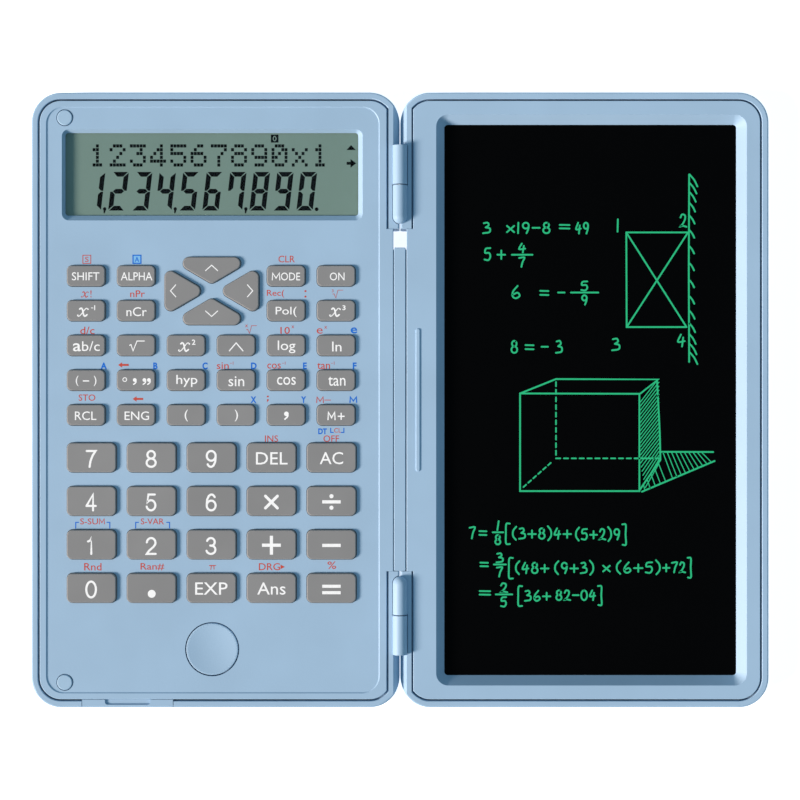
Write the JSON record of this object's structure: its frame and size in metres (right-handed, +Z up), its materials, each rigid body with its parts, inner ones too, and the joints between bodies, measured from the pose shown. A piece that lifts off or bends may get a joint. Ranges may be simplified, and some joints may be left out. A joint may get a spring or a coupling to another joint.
{
  "type": "folding scientific calculator",
  "caption": "Folding scientific calculator: keyboard and two-line display in one half, a writing tablet in the hinged lid, a stylus between them.",
  "frame": {"origin": "middle of the open footprint, on the underside", "axes": "+X from the calculator half to the lid, +Y up the keyboard towards the display, +Z up out of the faces"},
  "size_m": [0.1958, 0.1634, 0.0092],
  "materials": {
    "case_blue": "fine matte moulded plastic",
    "pad_blue": "soft matte",
    "keycap_grey": "matte with a fine grain",
    "window_clear": "clear, flat",
    "display_grey_green": "reflective liquid crystal grey-green",
    "elastomer_dark": "matte",
    "board_green": "solder resist",
    "silicone_grey": "matte",
    "cell_steel": "satin",
    "contact_steel": "satin, sprung",
    "screw_steel": "zinc plated",
    "pin_steel": "polished pin",
    "film_black": "dark satin liquid crystal film",
    "backplate_grey": "matte"
  },
  "bodies": {
    "calculator": {"base_shell": "case_blue", "front_panel": "case_blue", "display_window": "window_clear", "display_panel": "display_grey_green", "display_connector": "elastomer_dark", "circuit_board": "board_green", "key_membrane": "silicone_grey", "battery_contacts": "contact_steel", "corner_plugs": "pad_blue", "case_screws": "screw_steel", "hinge_pins": "pin_steel"},
    "lid": {"lid_shell": "case_blue", "lid_bezel": "case_blue", "writing_screen": "film_black", "screen_backplate": "backplate_grey", "lid_screws": "screw_steel"},
    "stylus": {"stylus": "case_blue"},
    "battery_tray": {"battery_tray": "case_blue", "coin_cell": "cell_steel"},
    "erase_button": {"erase_button": "case_blue"},
    "key_up": {"key_up": "keycap_grey"},
    "key_down": {"key_down": "keycap_grey"},
    "key_left": {"key_left": "keycap_grey"},
    "key_right": {"key_right": "keycap_grey"},
    "key_shift": {"key_shift": "keycap_grey"},
    "key_alpha": {"key_alpha": "keycap_grey"},
    "key_mode": {"key_mode": "keycap_grey"},
    "key_on": {"key_on": "keycap_grey"},
    "key_reciprocal": {"key_reciprocal": "keycap_grey"},
    "key_combination": {"key_combination": "keycap_grey"},
    "key_polar": {"key_polar": "keycap_grey"},
    "key_cube": {"key_cube": "keycap_grey"},
    "key_fraction": {"key_fraction": "keycap_grey"},
    "key_square_root": {"key_square_root": "keycap_grey"},
    "key_square": {"key_square": "keycap_grey"},
    "key_power": {"key_power": "keycap_grey"},
    "key_log": {"key_log": "keycap_grey"},
    "key_ln": {"key_ln": "keycap_grey"},
    "keys_trigonometry": {"keys_trigonometry": "keycap_grey"},
    "keys_memory": {"keys_memory": "keycap_grey"},
    "key_7": {"key_7": "keycap_grey"},
    "key_8": {"key_8": "keycap_grey"},
    "key_9": {"key_9": "keycap_grey"},
    "key_delete": {"key_delete": "keycap_grey"},
    "key_clear": {"key_clear": "keycap_grey"},
    "key_4": {"key_4": "keycap_grey"},
    "key_5": {"key_5": "keycap_grey"},
    "key_6": {"key_6": "keycap_grey"},
    "key_multiply": {"key_multiply": "keycap_grey"},
    "key_divide": {"key_divide": "keycap_grey"},
    "key_1": {"key_1": "keycap_grey"},
    "key_2": {"key_2": "keycap_grey"},
    "key_3": {"key_3": "keycap_grey"},
    "key_plus": {"key_plus": "keycap_grey"},
    "key_minus": {"key_minus": "keycap_grey"},
    "key_0": {"key_0": "keycap_grey"},
    "key_point": {"key_point": "keycap_grey"},
    "key_exponent": {"key_exponent": "keycap_grey"},
    "key_answer": {"key_answer": "keycap_grey"},
    "key_equals": {"key_equals": "keycap_grey"}
  },
  "joints": [
    {"name": "lid_hinge", "type": "hinge", "parent": "calculator", "child": "lid", "pos_m": [0, 0, 0.00725], "axis": [0, -1, 0], "range_deg": [0, 180]},
    {"name": "battery_slide", "type": "slide", "parent": "calculator", "child": "battery_tray", "axis": [0, -1, 0], "range_m": [0, 0.024]},
    {"name": "stylus_lift", "type": "slide", "parent": "calculator", "child": "stylus", "axis": [0, 0, 1], "range_m": [0, 0.014]},
    {"name": "erase_press", "type": "slide", "parent": "calculator", "child": "erase_button", "axis": [0, 0, -1], "range_m": [0, 0.0007], "stiffness_N_per_m": 500},
    {"name": "key_up_press", "type": "slide", "parent": "calculator", "child": "key_up", "axis": [0, 0, -1], "range_m": [0, 0.0008], "stiffness_N_per_m": 500},
    {"name": "key_down_press", "type": "slide", "parent": "calculator", "child": "key_down", "axis": [0, 0, -1], "range_m": [0, 0.0008], "stiffness_N_per_m": 500},
    {"name": "key_left_press", "type": "slide", "parent": "calculator", "child": "key_left", "axis": [0, 0, -1], "range_m": [0, 0.0008], "stiffness_N_per_m": 500},
    {"name": "key_right_press", "type": "slide", "parent": "calculator", "child": "key_right", "axis": [0, 0, -1], "range_m": [0, 0.0008], "stiffness_N_per_m": 500},
    {"name": "key_shift_press", "type": "slide", "parent": "calculator", "child": "key_shift", "axis": [0, 0, -1], "range_m": [0, 0.0008], "stiffness_N_per_m": 500},
    {"name": "key_alpha_press", "type": "slide", "parent": "calculator", "child": "key_alpha", "axis": [0, 0, -1], "range_m": [0, 0.0008], "stiffness_N_per_m": 500},
    {"name": "key_mode_press", "type": "slide", "parent": "calculator", "child": "key_mode", "axis": [0, 0, -1], "range_m": [0, 0.0008], "stiffness_N_per_m": 500},
    {"name": "key_on_press", "type": "slide", "parent": "calculator", "child": "key_on", "axis": [0, 0, -1], "range_m": [0, 0.0008], "stiffness_N_per_m": 500},
    {"name": "key_reciprocal_press", "type": "slide", "parent": "calculator", "child": "key_reciprocal", "axis": [0, 0, -1], "range_m": [0, 0.0008], "stiffness_N_per_m": 500},
    {"name": "key_combination_press", "type": "slide", "parent": "calculator", "child": "key_combination", "axis": [0, 0, -1], "range_m": [0, 0.0008], "stiffness_N_per_m": 500},
    {"name": "key_polar_press", "type": "slide", "parent": "calculator", "child": "key_polar", "axis": [0, 0, -1], "range_m": [0, 0.0008], "stiffness_N_per_m": 500},
    {"name": "key_cube_press", "type": "slide", "parent": "calculator", "child": "key_cube", "axis": [0, 0, -1], "range_m": [0, 0.0008], "stiffness_N_per_m": 500},
    {"name": "key_fraction_press", "type": "slide", "parent": "calculator", "child": "key_fraction", "axis": [0, 0, -1], "range_m": [0, 0.0008], "stiffness_N_per_m": 500},
    {"name": "key_square_root_press", "type": "slide", "parent": "calculator", "child": "key_square_root", "axis": [0, 0, -1], "range_m": [0, 0.0008], "stiffness_N_per_m": 500},
    {"name": "key_square_press", "type": "slide", "parent": "calculator", "child": "key_square", "axis": [0, 0, -1], "range_m": [0, 0.0008], "stiffness_N_per_m": 500},
    {"name": "key_power_press", "type": "slide", "parent": "calculator", "child": "key_power", "axis": [0, 0, -1], "range_m": [0, 0.0008], "stiffness_N_per_m": 500},
    {"name": "key_log_press", "type": "slide", "parent": "calculator", "child": "key_log", "axis": [0, 0, -1], "range_m": [0, 0.0008], "stiffness_N_per_m": 500},
    {"name": "key_ln_press", "type": "slide", "parent": "calculator", "child": "key_ln", "axis": [0, 0, -1], "range_m": [0, 0.0008], "stiffness_N_per_m": 500},
    {"name": "keys_trigonometry_press", "type": "slide", "parent": "calculator", "child": "keys_trigonometry", "axis": [0, 0, -1], "range_m": [0, 0.0008], "stiffness_N_per_m": 500},
    {"name": "keys_memory_press", "type": "slide", "parent": "calculator", "child": "keys_memory", "axis": [0, 0, -1], "range_m": [0, 0.0008], "stiffness_N_per_m": 500},
    {"name": "key_7_press", "type": "slide", "parent": "calculator", "child": "key_7", "axis": [0, 0, -1], "range_m": [0, 0.0008], "stiffness_N_per_m": 500},
    {"name": "key_8_press", "type": "slide", "parent": "calculator", "child": "key_8", "axis": [0, 0, -1], "range_m": [0, 0.0008], "stiffness_N_per_m": 500},
    {"name": "key_9_press", "type": "slide", "parent": "calculator", "child": "key_9", "axis": [0, 0, -1], "range_m": [0, 0.0008], "stiffness_N_per_m": 500},
    {"name": "key_delete_press", "type": "slide", "parent": "calculator", "child": "key_delete", "axis": [0, 0, -1], "range_m": [0, 0.0008], "stiffness_N_per_m": 500},
    {"name": "key_clear_press", "type": "slide", "parent": "calculator", "child": "key_clear", "axis": [0, 0, -1], "range_m": [0, 0.0008], "stiffness_N_per_m": 500},
    {"name": "key_4_press", "type": "slide", "parent": "calculator", "child": "key_4", "axis": [0, 0, -1], "range_m": [0, 0.0008], "stiffness_N_per_m": 500},
    {"name": "key_5_press", "type": "slide", "parent": "calculator", "child": "key_5", "axis": [0, 0, -1], "range_m": [0, 0.0008], "stiffness_N_per_m": 500},
    {"name": "key_6_press", "type": "slide", "parent": "calculator", "child": "key_6", "axis": [0, 0, -1], "range_m": [0, 0.0008], "stiffness_N_per_m": 500},
    {"name": "key_multiply_press", "type": "slide", "parent": "calculator", "child": "key_multiply", "axis": [0, 0, -1], "range_m": [0, 0.0008], "stiffness_N_per_m": 500},
    {"name": "key_divide_press", "type": "slide", "parent": "calculator", "child": "key_divide", "axis": [0, 0, -1], "range_m": [0, 0.0008], "stiffness_N_per_m": 500},
    {"name": "key_1_press", "type": "slide", "parent": "calculator", "child": "key_1", "axis": [0, 0, -1], "range_m": [0, 0.0008], "stiffness_N_per_m": 500},
    {"name": "key_2_press", "type": "slide", "parent": "calculator", "child": "key_2", "axis": [0, 0, -1], "range_m": [0, 0.0008], "stiffness_N_per_m": 500},
    {"name": "key_3_press", "type": "slide", "parent": "calculator", "child": "key_3", "axis": [0, 0, -1], "range_m": [0, 0.0008], "stiffness_N_per_m": 500},
    {"name": "key_plus_press", "type": "slide", "parent": "calculator", "child": "key_plus", "axis": [0, 0, -1], "range_m": [0, 0.0008], "stiffness_N_per_m": 500},
    {"name": "key_minus_press", "type": "slide", "parent": "calculator", "child": "key_minus", "axis": [0, 0, -1], "range_m": [0, 0.0008], "stiffness_N_per_m": 500},
    {"name": "key_0_press", "type": "slide", "parent": "calculator", "child": "key_0", "axis": [0, 0, -1], "range_m": [0, 0.0008], "stiffness_N_per_m": 500},
    {"name": "key_point_press", "type": "slide", "parent": "calculator", "child": "key_point", "axis": [0, 0, -1], "range_m": [0, 0.0008], "stiffness_N_per_m": 500},
    {"name": "key_exponent_press", "type": "slide", "parent": "calculator", "child": "key_exponent", "axis": [0, 0, -1], "range_m": [0, 0.0008], "stiffness_N_per_m": 500},
    {"name": "key_answer_press", "type": "slide", "parent": "calculator", "child": "key_answer", "axis": [0, 0, -1], "range_m": [0, 0.0008], "stiffness_N_per_m": 500},
    {"name": "key_equals_press", "type": "slide", "parent": "calculator", "child": "key_equals", "axis": [0, 0, -1], "range_m": [0, 0.0008], "stiffness_N_per_m": 500}
  ]
}
